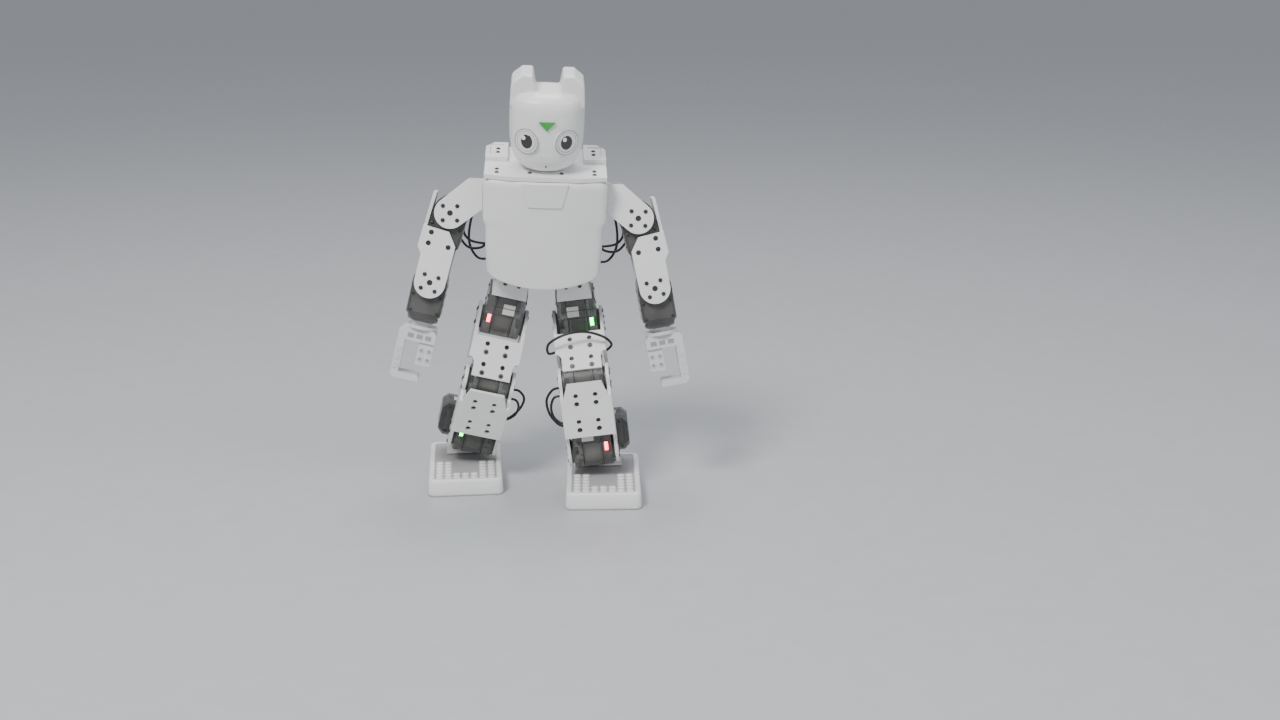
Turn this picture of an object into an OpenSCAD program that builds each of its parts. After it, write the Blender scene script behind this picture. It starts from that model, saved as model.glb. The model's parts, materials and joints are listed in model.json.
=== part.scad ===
// Desk-top humanoid robot: sixteen servo joints, moulded link brackets and a hollow head.
// Millimetres, +Z up. It faces -Y and its own right side is at -X.
// The origin is on the floor, under the middle of the robot as it stands.

/* [Servo] */
// Length of a servo case from its round shaft end to its far end
servo_l = 50; // [48:0.5:51]
// Thickness of a servo case
servo_w = 31; // [29:0.5:31]
// Depth of a servo case along its output shaft
servo_d = 36; // [34:0.5:36]

/* [Links] */
// Wall thickness of the link brackets
plate_t = 3; // [2.5:0.1:3]
// Hip roll axis down to the hip pitch axis
hip_l = 54.5; // [54.5:0.5:58]
// Hip pitch axis down to the knee axis
thigh_l = 60; // [60:0.5:64]
// Knee axis down to the ankle pitch axis
shin_l = 68; // [68:0.5:74]
// Shoulder roll axis down to the elbow axis
upper_arm_l = 65; // [64:0.5:70]
// Ankle pitch axis above the sole
sole_h = 40; // [40:0.5:44]

/* [Torso and head] */
// Width of the chest cover
chest_w = 110; // [108:1:110]
// Height of the shoulder deck above the hip roll axes
deck_z = 102; // [102:1:108]
// Width of the head
head_w = 66; // [64:1:68]

/* [Feet] */
// Width of a foot
foot_w = 70; // [66:1:70]
// Length of a foot
foot_l = 118; // [116:1:120]

/* [Stance] */
// Forward lean of the torso
torso_lean = 12; // [8:1:14]
// Sideways lean of the torso
torso_roll = 2.3; // [0:0.1:3]
// Outward splay of the left leg from the torso's middle plane
left_splay = 9; // [6:0.5:11]
// Outward splay of the right leg from the torso's middle plane
right_splay = 12; // [9:0.5:13]
// Forward swing of the left thigh from the torso's axis
left_thigh = 52; // [44:1:54]
// Forward swing of the right thigh from the torso's axis
right_thigh = 30; // [26:1:34]
// Backward fold of the left knee
left_knee = 40; // [36:1:44]
// Forward swing of both arms from the torso's axis
arm_swing = 19; // [10:1:24]
// Outward swing of both upper arms
arm_out = 15.3; // [12:0.1:20]
// Inward bend of both elbows
elbow_in = 3.6; // [0:0.1:6]

/* [Hidden] */
$fn = 48;

// Floor point under the middle of the robot, seen from the hips
floor_mid = [3.77, 2.34];

// Servo and joint sizes
shaft_r = servo_w / 2;             // round end of a servo, about its shaft
half_d = servo_d / 2;
far_end = servo_l - shaft_r;       // shaft to the far end of the case
horn_t = 2.5;                      // horn and its running gap
horn_gap = 0.3;
horn_r = 11;
stub_r = 3.95;
stub_bore_r = 4;
stub_l = 4;
plate_in = half_d + horn_t;        // inner face of a bracket plate from the servo's middle
plate_out = plate_in + plate_t;
eye_r = 14;                        // round end of a bracket plate
screw_pcd = 18;
screw_r = 1.1;
hub_hole_r = 2.6;
case_chamfer = 5;

// Torso layout, from the midpoint of the two hip roll axes
hip_x = 26.5;
shoulder_z = 72;
shoulder_x = 55.5;                 // inner face of the shoulder bracket's side plate
arm_drop = 16;                     // shoulder pitch axis down to the shoulder roll axis
arm_reach = 28.5;                  // side plate out to the shoulder roll axis
roll_up = 7;                       // ankle pitch axis up to the ankle roll axis
roll_servo_y = shaft_r + half_d;   // middle of the ankle roll servo behind the ankle pitch axis
foot_offset = 10;                  // middle of the foot outboard of the ankle
foot_h = 16;
foot_front = 56;
head_z = 107;
head_y = -12;
wall = 2.5;

// Transforms as matrices, so that every link's place follows from the one above it
function shift(v) = [[1, 0, 0, v[0]], [0, 1, 0, v[1]], [0, 0, 1, v[2]], [0, 0, 0, 1]];
function turn_x(a) = [[1, 0, 0, 0], [0, cos(a), -sin(a), 0], [0, sin(a), cos(a), 0], [0, 0, 0, 1]];
function turn_y(a) = [[cos(a), 0, sin(a), 0], [0, 1, 0, 0], [-sin(a), 0, cos(a), 0], [0, 0, 0, 1]];

torso_turn = turn_y(torso_roll) * turn_x(torso_lean);
function splay(s) = s > 0 ? left_splay : right_splay;
function hip_turn(s) = torso_turn * turn_y(-s * splay(s));
function thigh_angle(s) = s > 0 ? -left_thigh : -right_thigh;

// How far a link of length l, turned by a about the hip's pitch direction, goes down
function drop(s, l, a) = let (h = hip_turn(s)[2]) l * (h[2] * cos(a) - h[1] * sin(a));
function foot_roll(s) = asin(hip_turn(s)[2][0]);
function hip_drop(s) = -s * hip_x * torso_turn[2][0] + drop(s, hip_l, 0) + drop(s, thigh_l, thigh_angle(s));
left_shin_turn = left_knee - left_thigh;
left_reach = hip_drop(1) + drop(1, shin_l, left_shin_turn) - roll_up * cos(foot_roll(1));

// The right shin's turn that brings the right sole level with the left one
right_shin_drop = left_reach - hip_drop(-1) + roll_up * cos(foot_roll(-1));
right_row = hip_turn(-1)[2];
right_shin_turn = acos(right_shin_drop / (shin_l * norm([right_row[1], right_row[2]])))
    - atan2(right_row[1], right_row[2]);
function shin_turn(s) = s > 0 ? left_shin_turn : right_shin_turn;
function knee_angle(s) = shin_turn(s) - thigh_angle(s);
function ankle_pitch(s) = let (v = (hip_turn(s) * turn_x(shin_turn(s)))[2]) atan2(-v[1], v[2]);

// Frames of the links, in the robot's own frame
sole_drop = sole_h + roll_up;
torso_at = shift([floor_mid[0], floor_mid[1], left_reach + sole_drop]) * torso_turn;
function shoulder_at(s) = torso_at * shift([s * shoulder_x, 0, shoulder_z]) * turn_x(-arm_swing);
function upper_arm_at(s) = shoulder_at(s) * shift([s * arm_reach, 0, -arm_drop]) * turn_y(-s * arm_out);
function forearm_at(s) = upper_arm_at(s) * shift([0, 0, -upper_arm_l]) * turn_y(s * elbow_in);
function hip_at(s) = torso_at * shift([s * hip_x, 0, 0]) * turn_y(-s * splay(s));
function thigh_at(s) = hip_at(s) * shift([0, 0, -hip_l]) * turn_x(thigh_angle(s));
function shin_at(s) = thigh_at(s) * shift([0, 0, -thigh_l]) * turn_x(knee_angle(s));
function ankle_at(s) = shin_at(s) * shift([0, 0, -shin_l]) * turn_x(ankle_pitch(s));
function foot_at(s) = ankle_at(s) * shift([0, 0, roll_up]) * turn_y(foot_roll(s));

// Draws a link in its frame, with +X outboard on both sides of the robot
module place(frame, s = 1) multmatrix(frame) mirror([s < 0 ? 1 : 0, 0, 0]) children();

// An outline drawn in x and z, made t thick and centred on y
module along_y(t, y = 0) translate([0, y + t / 2, 0]) rotate([90, 0, 0]) linear_extrude(t) children();
// An outline drawn in y and z, made t thick from x
module along_x(t, x = 0) translate([x, 0, 0]) rotate([90, 0, 90]) linear_extrude(t) children();

// The same plate on both sides of the servo
module plate_pair() for (e = [-1, 1]) along_y(plate_t, e * (plate_in + plate_t / 2)) children();
module arm_pair() for (e = [-1, 1]) along_x(plate_t, e * (plate_in + plate_t / 2) - plate_t / 2) children();

// Centre hole and four screw holes of a horn
module horn_holes() {
    circle(hub_hole_r);
    for (a = [45:90:315]) rotate(a) translate([screw_pcd / 2, 0]) circle(screw_r);
}

// Where the line from p touches the circle c, r
function touch(p, c, r, side) = let (d = p - c, a = atan2(d[1], d[0]) + side * acos(r / norm(d)))
    c + r * [cos(a), sin(a)];

// Servo case about its output shaft, which lies along Y. Its far end hangs down.
module servo() {
    f = far_end;
    c = case_chamfer;
    w = shaft_r - 0.1;
    difference() {
        along_y(servo_d) {
            circle(shaft_r);
            polygon([[-w, 0], [w, 0], [w, c - f], [w - c, -f], [c - w, -f], [-w, c - f]]);
        }
        for (e = [-1, 1]) translate([0, e * (half_d - stub_l / 2), 0]) rotate([90, 0, 0])
            cylinder(r = stub_bore_r, h = stub_l + 1, center = true);
    }
}
module servo_up() mirror([0, 0, 1]) servo();
module servo_across() rotate([0, 0, 90]) servo_up();
module servo_outboard() rotate([0, -90, 0]) servo();

// Horn disc with its stub shaft. It lies along Y, and its plate is at the +Y side.
module horn() {
    translate([0, half_d + horn_gap, 0]) rotate([-90, 0, 0]) cylinder(r = horn_r, h = horn_t - horn_gap);
    translate([0, half_d - stub_l, 0]) rotate([-90, 0, 0]) cylinder(r = stub_r, h = stub_l + horn_gap);
}
module horn_pair() for (e = [0, 1]) mirror([0, e, 0]) horn();
module horn_pair_across() rotate([0, 0, 90]) horn_pair();

// ---- Torso ----
shoulder_servo_x = shoulder_x - horn_t - plate_t / 6 - half_d;
frame_w = 100;
frame_y = [-27, 30];
frame_floor = far_end;
module box(low, high) translate(low) cube(high - low);

module torso_frame() color("gainsboro") place(torso_at) difference() {
    box([-frame_w / 2, frame_y[0], frame_floor], [frame_w / 2, frame_y[1], deck_z]);
    box([wall - frame_w / 2, frame_y[0] + wall, frame_floor + wall],
        [frame_w / 2 - wall, frame_y[1] - wall, deck_z + 1]);
    box([-frame_w, -shaft_r - 0.5, frame_floor + wall], [frame_w, shaft_r + 0.5, deck_z + 1]);
}

bulge = 7;             // how far the chest cover's middle stands forward of its sides
chest_front = -45;
chest_hem = 8;         // rise of the hem from the middle to the corners
hem_half = chest_w / 2 - 7;
function bow(half, rise) = (half * half + rise * rise) / (2 * rise);
chest_r = bow(chest_w / 2, bulge);
hem_r = bow(hem_half, chest_hem);
hem_turn = asin(hem_half / hem_r);

module chest_outline() {
    w = chest_w / 2;
    hem = [for (a = [hem_turn:-hem_turn / 8:-hem_turn]) [hem_r * sin(a), hem_r - 1 - hem_r * cos(a)]];
    polygon(concat([[-w + 2.5, 14], [-w + 2.5, 58], [-w, 62], [-w, deck_z - 5], [-w + 5, deck_z],
        [w - 5, deck_z], [w, deck_z - 5], [w, 62], [w - 2.5, 58], [w - 2.5, 14]], hem));
}
module chest_plan(r) intersection() {
    translate([0, chest_front + chest_r]) circle(r, $fn = 96);
    translate([-chest_w / 2, chest_front - 1]) square([chest_w, bulge + wall + 1]);
}
module chest_cover() color("whitesmoke") place(torso_at) {
    intersection() {
        translate([0, 0, -10]) linear_extrude(deck_z + 20) difference() {
            chest_plan(chest_r);
            chest_plan(chest_r - wall);
        }
        along_y(40, chest_front) chest_outline();
    }
    for (e = [0, 1]) mirror([e, 0, 0])
        box([frame_w / 2 - 3, chest_front + bulge, 36], [frame_w / 2, frame_y[0], deck_z - 6]);
}

back_depth = 12;
button_at = [24, 44];  // power button on the back, from the torso's middle
module back_cover() color("whitesmoke") place(torso_at) difference() {
    box([-52, frame_y[1], 4], [52, frame_y[1] + back_depth, deck_z]);
    box([wall - 52, frame_y[1] - 1, 4 + wall], [52 - wall, frame_y[1] + back_depth - wall, deck_z - wall]);
    for (z = [64:7:92]) box([-24, frame_y[1], z], [24, frame_y[1] + back_depth + 1, z + 2.5]);
    translate([button_at[0], frame_y[1], button_at[1]]) rotate([-90, 0, 0]) cylinder(r = 5.2, h = 20);
}
module power_button() color("dimgray") place(torso_at)
    translate([button_at[0], frame_y[1] + 6, button_at[1]]) rotate([-90, 0, 0])
        cylinder(r = 4.9, h = back_depth - 4);

deck_t = 4;
module top_deck() color("whitesmoke") place(torso_at) {
    difference() {
        union() {
            translate([0, 0, deck_z]) linear_extrude(deck_t)
                polygon([[-54, -37], [-30, -42], [30, -42], [54, -37], [54, 24], [46, 35], [-46, 35], [-54, 24]]);
            for (e = [0, 1]) mirror([e, 0, 0]) translate([0, 0, deck_z + 1]) linear_extrude(deck_t + 3)
                polygon([[34, -4], [54, -4], [54, 24], [46, 35], [34, 35]]);
        }
        for (s = [-1, 1], y = [-31, -23, 12, 21]) translate([s * 43, y, deck_z - 1]) cylinder(r = 2, h = 9);
        for (s = [-1, 1]) translate([s * 14, -31, deck_z - 1]) cylinder(r = 2, h = 9);
        for (s = [-1, 1]) translate([s * 44 - 6, 4, deck_z + deck_t + 2.8]) cube([12, 26, 3]);
    }
    translate([0, head_y, deck_z + deck_t]) cylinder(r = 19, h = head_z - deck_z - deck_t);
}
module battery_pack() color("royalblue") place(torso_at) box([-36, 16, 40], [36, 27.5, 96]);
module controller_board() color("seagreen") place(torso_at) {
    box([-36, -24.5, 44], [36, -22.9, 98]);
    for (x = [-30:12:30]) box([x - 4, -22.9, 48], [x + 4, -17, 54]);
    box([-9, -22.9, 62], [9, -20.5, 80]);
}
module shoulder_servos() color("dimgray") place(torso_at)
    for (s = [-1, 1]) translate([s * shoulder_servo_x, 0, shoulder_z]) rotate([0, 0, 90]) servo();
module hip_roll_servos() color("dimgray") place(torso_at)
    for (s = [-1, 1]) translate([s * hip_x, 0, 0]) servo_up();

// ---- Head ----
head_r = 34;
head_half_d = 30;
face_z = 58;           // top of the widest part
crown_z = 71;
ear_z = 84.6;
eye_r_out = 11.6;
eye_z = 31;
eye_turn = 27;         // each eye faces this far outward
eye_shift = 3.6;
eye_front = 32;        // front of an eye from the head's middle, along its own axis
eye_t = 3.5;
module head_outline() {
    w = head_w / 2;
    polygon([[-12, 0], [-22, 4], [-w + 4, 12], [-w + 0.5, 24], [-w, face_z], [-w + 2.5, face_z + 4],
        [-w + 4, crown_z - 5], [-w + 9, crown_z], [w - 9, crown_z], [w - 4, crown_z - 5],
        [w - 2.5, face_z + 4], [w, face_z], [w - 0.5, 24], [w - 4, 12], [22, 4], [12, 0]]);
}
module ear_outline() polygon([[11, crown_z - 5], [11, crown_z], [14, ear_z], [23, ear_z],
    [30.5, ear_z - 8], [30.5, crown_z - 8], [20, crown_z - 10]]);
module head_form() intersection() {
    union() {
        along_y(2 * head_half_d) head_outline();
        for (e = [0, 1]) mirror([e, 0, 0]) along_y(20, 12) ear_outline();
    }
    difference() {
        cylinder(r = head_r, h = ear_z, $fn = 96);
        translate([0, 0, 6]) cylinder(r = 25, h = face_z - 6, $fn = 96);
    }
}
module head_place() place(torso_at) translate([0, head_y, head_z]) children();
module eye_pair() for (e = [-1, 1]) rotate([0, 0, e * eye_turn])
    translate([e * eye_shift, -eye_front, eye_z]) rotate([-90, 0, 0]) cylinder(r = eye_r_out, h = eye_t);
module face_shell() color("whitesmoke") head_place() difference() {
    intersection() {
        head_form();
        box([-50, -50, -1], [50, 0, 100]);
    }
    eye_pair();
}
module rear_head_shell() color("whitesmoke") head_place() intersection() {
    head_form();
    box([-50, 0, -1], [50, 50, 100]);
}
module eyes() color("black") head_place() eye_pair();
module forehead_light() color("limegreen") head_place() along_y(1.5, -head_half_d - 0.75)
    polygon([[-7.3, 50], [7.3, 50], [0, 42]]);

// ---- Arms ----
module shoulder_outline() {
    c = [arm_reach, -arm_drop];
    top = [14, eye_r];
    foot = [0, -12];
    translate(c) circle(eye_r);
    polygon([[0, eye_r], top, touch(top, c, eye_r, -1), c, touch(foot, c, eye_r, 1), foot]);
}
module shoulder_bracket(s) color("whitesmoke") place(shoulder_at(s), s) {
    difference() {
        box([0, -plate_out, -12], [plate_t, plate_out, eye_r]);
        along_x(2 * plate_t, -1) horn_holes();
    }
    difference() {
        plate_pair() shoulder_outline();
        translate([arm_reach, 0, -arm_drop]) along_y(60) horn_holes();
    }
}
module shoulder_horns(s) color("gray") place(shoulder_at(s), s) {
    translate([arm_reach, 0, -arm_drop]) horn_pair();
    translate([-plate_in, 0, 0]) rotate([0, 0, -90]) horn();
}
module upper_arm_servo(s) color("dimgray") place(upper_arm_at(s), s) servo();
module upper_arm_outline() {
    c = [0, -upper_arm_l];
    inner = [-13, -28];
    outer = [15, -42];
    translate(c) circle(eye_r);
    polygon([[19.5, -16.5], [-4, -16.5], inner, touch(inner, c, eye_r, 1), c,
        touch(outer, c, eye_r, -1), outer, [19.5, -36]]);
}
module upper_arm_bracket(s) color("whitesmoke") place(upper_arm_at(s), s) {
    difference() {
        plate_pair() upper_arm_outline();
        translate([0, 0, -upper_arm_l]) along_y(60) horn_holes();
        for (p = [[-7, -30], [11, -21], [11, -31]]) translate([p[0], 0, p[1]]) along_y(60) circle(2.3);
    }
    box([16.5, -plate_in, -36], [19.5, plate_in, -16.5]);
    box([16.5, 3 - half_d, -17], [19.5, half_d - 3, 14]);
    for (e = [0, 1]) mirror([0, e, 0]) box([-4, half_d, -33], [8, plate_in, -18]);
}
module elbow_horns(s) color("gray") place(upper_arm_at(s), s) translate([0, 0, -upper_arm_l]) horn_pair();
module forearm_servo(s) color("dimgray") place(forearm_at(s), s) servo();

wrist_z = -far_end;
module wrist_flange(s) color("gainsboro") place(forearm_at(s), s) {
    translate([0, 0, wrist_z - 3]) cylinder(r = 14, h = 3);
    translate([0, 0, wrist_z - 7]) cylinder(r = 9, h = 4);
}
hand_z = wrist_z - 7;
module hand(s) color("whitesmoke") place(forearm_at(s), s) translate([0, 0, hand_z]) {
    translate([0, 0, -3]) cylinder(r = 15, h = 3);
    box([-16, -11, -15], [18, 11, -3]);
    box([11, -11, -51], [18, 11, -15]);
    box([-8, -11, -51], [11, 11, -45]);
    difference() {
        box([-16, -9, -36], [-2, 9, -15]);
        for (x = [-12.5, -5.5], z = [-22, -30]) translate([x, -9, z]) rotate([90, 0, 0])
            cylinder(r = 2, h = 3, center = true);
    }
}

// ---- Legs ----
module hip_bracket(s) color("whitesmoke") place(hip_at(s), s) {
    base_z = far_end - hip_l;
    difference() {
        plate_pair() {
            circle(eye_r);
            polygon([[-eye_r, 0], [eye_r, 0], [16, base_z + plate_t], [16, base_z], [-16, base_z], [-16, base_z + plate_t]]);
        }
        along_y(60) horn_holes();
    }
    box([-16, -plate_in, base_z], [16, plate_in, base_z + plate_t]);
}
module hip_horns(s) color("gray") place(hip_at(s), s) horn_pair();
module hip_servo(s) color("dimgray") place(hip_at(s), s) translate([0, 0, -hip_l]) servo_across();

thigh_front = -shaft_r - plate_t;     // outer face of the thigh's front plate
thigh_top = -shaft_r - 3.5;
plate_hole_x = 9;
module plate_holes(top_z, gap) for (x = [-1, 1], k = [0:3]) {
    z = top_z - [0, 8, 8 + gap, 16 + gap][k];
    translate([x * plate_hole_x, z]) circle(k % 2 == 0 ? 2.2 : 2.5);
}
module thigh_bracket(s) color("whitesmoke") place(thigh_at(s), s) {
    arm_foot = -thigh_l + 20;
    difference() {
        arm_pair() {
            circle(eye_r);
            polygon([[-eye_r, 0], [eye_r, 0], [eye_r, arm_foot], [thigh_front, arm_foot], [thigh_front, thigh_top], [-eye_r, -8]]);
        }
        along_x(80, -40) horn_holes();
    }
    box([-plate_in, thigh_front, thigh_top - plate_t], [plate_in, eye_r, thigh_top]);
    difference() {
        along_y(plate_t, -shaft_r - plate_t / 2) polygon([[-plate_in, thigh_top], [plate_in, thigh_top],
            [plate_in, arm_foot], [18, arm_foot - 4], [18, 3 - thigh_l], [-18, 3 - thigh_l],
            [-18, arm_foot - 4], [-plate_in, arm_foot]]);
        along_y(60) plate_holes(thigh_top - 6.5, 11.5);
    }
}
module thigh_horns(s) color("gray") place(thigh_at(s), s) horn_pair_across();
module knee_servo(s) color("dimgray") place(thigh_at(s), s) translate([0, 0, -thigh_l]) servo_across();

shin_gap = 4;                         // room for the ankle servo to tip forward
shin_front = -shaft_r - shin_gap - plate_t;
shin_foot = -shin_l + 20;
module shin_bracket(s) color("whitesmoke") place(shin_at(s), s) {
    difference() {
        arm_pair() {
            circle(eye_r);
            translate([0, -shin_l]) circle(eye_r);
            polygon([[-eye_r, -4], [shin_front, -10], [shin_front, shin_foot], [-eye_r, shin_foot - 6], [-eye_r, -shin_l],
                [10, 9.8 - shin_l], [10, 33 - shin_l], [eye_r, 42 - shin_l], [eye_r, 0], [-eye_r, 0]]);
        }
        along_x(80, -40) horn_holes();
        translate([0, 0, -shin_l]) along_x(80, -40) horn_holes();
    }
    difference() {
        along_y(plate_t, shin_front + plate_t / 2) polygon([[-plate_in, -10], [-16, 4], [16, 4], [plate_in, -10],
            [plate_in, shin_foot], [-plate_in, shin_foot]]);
        along_y(60) plate_holes(-8, 17);
    }
}
module shin_horns(s) color("gray") place(shin_at(s), s) {
    horn_pair_across();
    translate([0, 0, -shin_l]) horn_pair_across();
}
module ankle_servo(s) color("dimgray") place(ankle_at(s), s) servo_across();
module ankle_roll_servo(s) color("dimgray") place(ankle_at(s), s)
    translate([0, roll_servo_y, roll_up]) servo_outboard();

foot_top = foot_h - sole_drop;
foot_arm_y = roll_servo_y + half_d + horn_t;
module foot_bracket(s) color("whitesmoke") place(foot_at(s), s) {
    difference() {
        along_y(plate_t, foot_arm_y + plate_t / 2) {
            circle(eye_r);
            polygon([[-eye_r, 0], [eye_r, 0], [28, foot_top], [-18, foot_top]]);
        }
        translate([0, foot_arm_y, 0]) along_y(10) horn_holes();
    }
    box([-18, 22, foot_top], [28, foot_arm_y, foot_top + wall]);
}
module foot_horn(s) color("gray") place(foot_at(s), s) translate([0, roll_servo_y, 0]) horn();
foot_wall = 3;
rib_w = 5;
module foot_plan(inset) {
    x0 = foot_offset - foot_w / 2 + inset;
    x1 = foot_offset + foot_w / 2 - inset;
    y0 = inset - foot_front;
    y1 = foot_l - foot_front - inset;
    c = 6;
    polygon([[x0 + c, y0], [x1 - c, y0], [x1, y0 + c], [x1, y1 - c],
        [x1 - c, y1], [x0 + c, y1], [x0, y1 - c], [x0, y0 + c]]);
}
module foot(s) color("whitesmoke") place(foot_at(s), s) translate([0, 0, -sole_drop]) {
    mid_y = foot_l / 2 - foot_front;
    difference() {
        linear_extrude(foot_h) foot_plan(0);
        translate([0, 0, -1]) linear_extrude(foot_h - foot_wall + 1) foot_plan(foot_wall);
    }
    translate([foot_offset - rib_w / 2, 1 - foot_front, 0]) cube([rib_w, foot_l - 2, foot_h - 1]);
    translate([foot_offset - foot_w / 2 + 1, mid_y - rib_w / 2, 0]) cube([foot_w - 2, rib_w, foot_h - 1]);
}

// ---- Cables: tubes swept along their routes ----
cable_r = 1.2;
sides = 8;
function unit(v) = v / norm(v);
function way(p, i) = unit(p[min(i + 1, len(p) - 1)] - p[max(i - 1, 0)]);
function ring(c, d, up) = let (u = unit(cross(d, up)), v = cross(d, u))
    [for (k = [0:sides - 1]) c + cable_r * (cos(360 * k / sides) * u + sin(360 * k / sides) * v)];
// A point on the smooth curve through the route's points
function on_curve(p, t) = let (n = len(p) - 1, i = min(floor(t), n - 1), f = t - i,
        a = p[max(i - 1, 0)], b = p[i], c = p[i + 1], d = p[min(i + 2, n)])
    0.5 * (2 * b + (c - a) * f + (2 * a - 5 * b + 4 * c - d) * f * f + (3 * b - a - 3 * c + d) * f * f * f);
steps = 4;
module cable(route, up = [0, 1, 0.3]) {
    line = [for (k = [0:steps * (len(route) - 1)]) on_curve(route, k / steps)];
    n = len(line);
    rings = [for (i = [0:n - 1]) ring(line[i], way(line, i), up)];
    skin = [for (i = [0:n - 2], k = [0:sides - 1]) let (m = (k + 1) % sides)
        [i * sides + k, i * sides + m, (i + 1) * sides + m, (i + 1) * sides + k]];
    caps = [[for (k = [sides - 1:-1:0]) k], [for (k = [0:sides - 1]) (n - 1) * sides + k]];
    polyhedron([for (r = rings, q = r) q], concat(skin, caps));
}
torso_routes = [
    [[52, 36, 46], [62, 38, 42], [72, 39, 32], [75, 38, 20], [68, 37, 11], [52, 35, 9]],
    [[52, 36, 54], [66, 40, 51], [80, 44, 38], [82, 44, 20], [72, 42, 3], [58, 38, 4], [52, 36, 14]],
    [[52, 40, 60], [60, 45, 52], [68, 47, 30], [70, 46, 6], [62, 42, -8], [50, 37, -6], [44, 35, 4]]
];
shin_routes = [
    [[-23.5, 4, -6], [-31, 7, -8], [-38, 10, -18], [-37, 11, -32], [-30, 8, -42], [-23.5, 5, -44]],
    [[-23.5, -2, -12], [-30, -2, -13], [-34, 0, -22], [-33, 1, -32], [-28, 0, -38], [-23.5, -1, -39]]
];
thigh_route = [[-23.5, -8, -32], [-30, -18, -37], [-28, -28, -32], [-12, -33, -27], [6, -32, -26],
    [22, -28, -31], [29, -18, -35], [23.5, -8, -36]];
module torso_cables(s) color("black") place(torso_at, s) for (r = torso_routes) cable(r);
module shin_cables(s) color("black") place(shin_at(s), s) for (r = shin_routes) cable(r);
module left_thigh_cable() color("black") place(thigh_at(1), 1) cable(thigh_route, [0, 0.2, 1]);

torso_frame();
chest_cover();
back_cover();
top_deck();
battery_pack();
controller_board();
shoulder_servos();
hip_roll_servos();
power_button();
face_shell();
rear_head_shell();
eyes();
forehead_light();
torso_cables(-1);  // right_torso_cables
torso_cables(1);  // left_torso_cables
left_thigh_cable();
for (s = [-1, 1]) {
    side = s < 0 ? "right" : "left";
    shoulder_bracket(s);
    shoulder_horns(s);
    upper_arm_servo(s);
    upper_arm_bracket(s);
    elbow_horns(s);
    forearm_servo(s);
    wrist_flange(s);
    hand(s);
    hip_bracket(s);
    hip_horns(s);
    hip_servo(s);
    thigh_bracket(s);
    thigh_horns(s);
    knee_servo(s);
    shin_bracket(s);
    shin_horns(s);
    shin_cables(s);
    ankle_servo(s);
    ankle_roll_servo(s);
    foot_bracket(s);
    foot_horn(s);
    foot(s);
}
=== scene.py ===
import bpy, bmesh, json, math
from math import sin, cos, pi, sqrt, radians
from mathutils import Matrix, Vector


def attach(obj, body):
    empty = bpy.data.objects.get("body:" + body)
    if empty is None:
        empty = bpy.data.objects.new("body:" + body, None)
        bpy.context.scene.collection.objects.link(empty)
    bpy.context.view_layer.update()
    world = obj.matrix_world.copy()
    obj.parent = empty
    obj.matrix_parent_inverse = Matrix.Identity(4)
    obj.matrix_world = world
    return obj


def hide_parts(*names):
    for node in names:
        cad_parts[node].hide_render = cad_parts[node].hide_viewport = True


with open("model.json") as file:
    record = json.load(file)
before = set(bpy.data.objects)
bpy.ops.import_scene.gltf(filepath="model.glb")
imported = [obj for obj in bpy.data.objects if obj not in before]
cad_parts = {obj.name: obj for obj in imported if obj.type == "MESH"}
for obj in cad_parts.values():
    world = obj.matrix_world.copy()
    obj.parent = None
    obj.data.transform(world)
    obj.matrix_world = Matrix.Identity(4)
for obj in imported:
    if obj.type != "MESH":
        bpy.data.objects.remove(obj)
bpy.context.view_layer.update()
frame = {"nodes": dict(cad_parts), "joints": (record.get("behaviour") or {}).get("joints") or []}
MM = 0.001

# ---------------------------------------------------------------- link frames, as in part.scad
JOINTS = {j["name"]: j for j in frame["joints"]}


def at(name):
    return Vector(JOINTS[name]["pos_m"])


def turn(axis, degrees):
    return Matrix.Rotation(radians(degrees), 4, axis)


def place(p, r):
    return Matrix.Translation(p) @ r


# stance in degrees: the torso leans forward and rolls, the arms swing back and spread, the elbows turn in
LEAN, ROLL, SWING, OUT, IN = 12, 2.3, 19, 15.3, 3.6
SPLAY = {1: 9, -1: 12}   # outward splay of the left and right leg
TORSO_R = turn("Y", ROLL) @ turn("X", LEAN)
F = {"torso": place((at("right_hip_roll") + at("left_hip_roll")) / 2, TORSO_R)}


def pitch_between(r, a, b):
    """The turn about a link's own X that takes its -Z from joint a to joint b."""
    d = (r.to_3x3().transposed() @ (at(b) - at(a))).normalized()
    return math.degrees(math.atan2(d.y, -d.z))


for side, s in (("right", -1), ("left", 1)):
    k = side + "_"
    r = TORSO_R @ turn("X", -SWING)
    F[k + "shoulder"] = place(at(k + "shoulder_pitch"), r)
    r = r @ turn("Y", -s * OUT)
    F[k + "upper_arm"] = place(at(k + "shoulder_roll"), r)
    r = r @ turn("Y", s * IN)
    F[k + "forearm"] = place(at(k + "elbow"), r)
    r = TORSO_R @ turn("Y", -s * SPLAY[s])
    F[k + "hip"] = place(at(k + "hip_roll"), r)
    rt = r @ turn("X", pitch_between(r, k + "hip_pitch", k + "knee"))
    F[k + "thigh"] = place(at(k + "hip_pitch"), rt)
    rs = r @ turn("X", pitch_between(r, k + "knee", k + "ankle_pitch"))
    F[k + "shin"] = place(at(k + "knee"), rs)
    x = rs.to_3x3() @ Vector((1, 0, 0))
    y = Vector((0, 0, 1)).cross(x).normalized()
    z = x.cross(y)
    ra = Matrix((x, y, z)).transposed().to_4x4()
    F[k + "ankle"] = place(at(k + "ankle_pitch"), ra)
    xf = Vector((x.x, x.y, 0)).normalized()
    rf = Matrix((xf, y, Vector((0, 0, 1)))).transposed().to_4x4()
    F[k + "foot"] = place(at(k + "ankle_roll"), rf)

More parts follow.
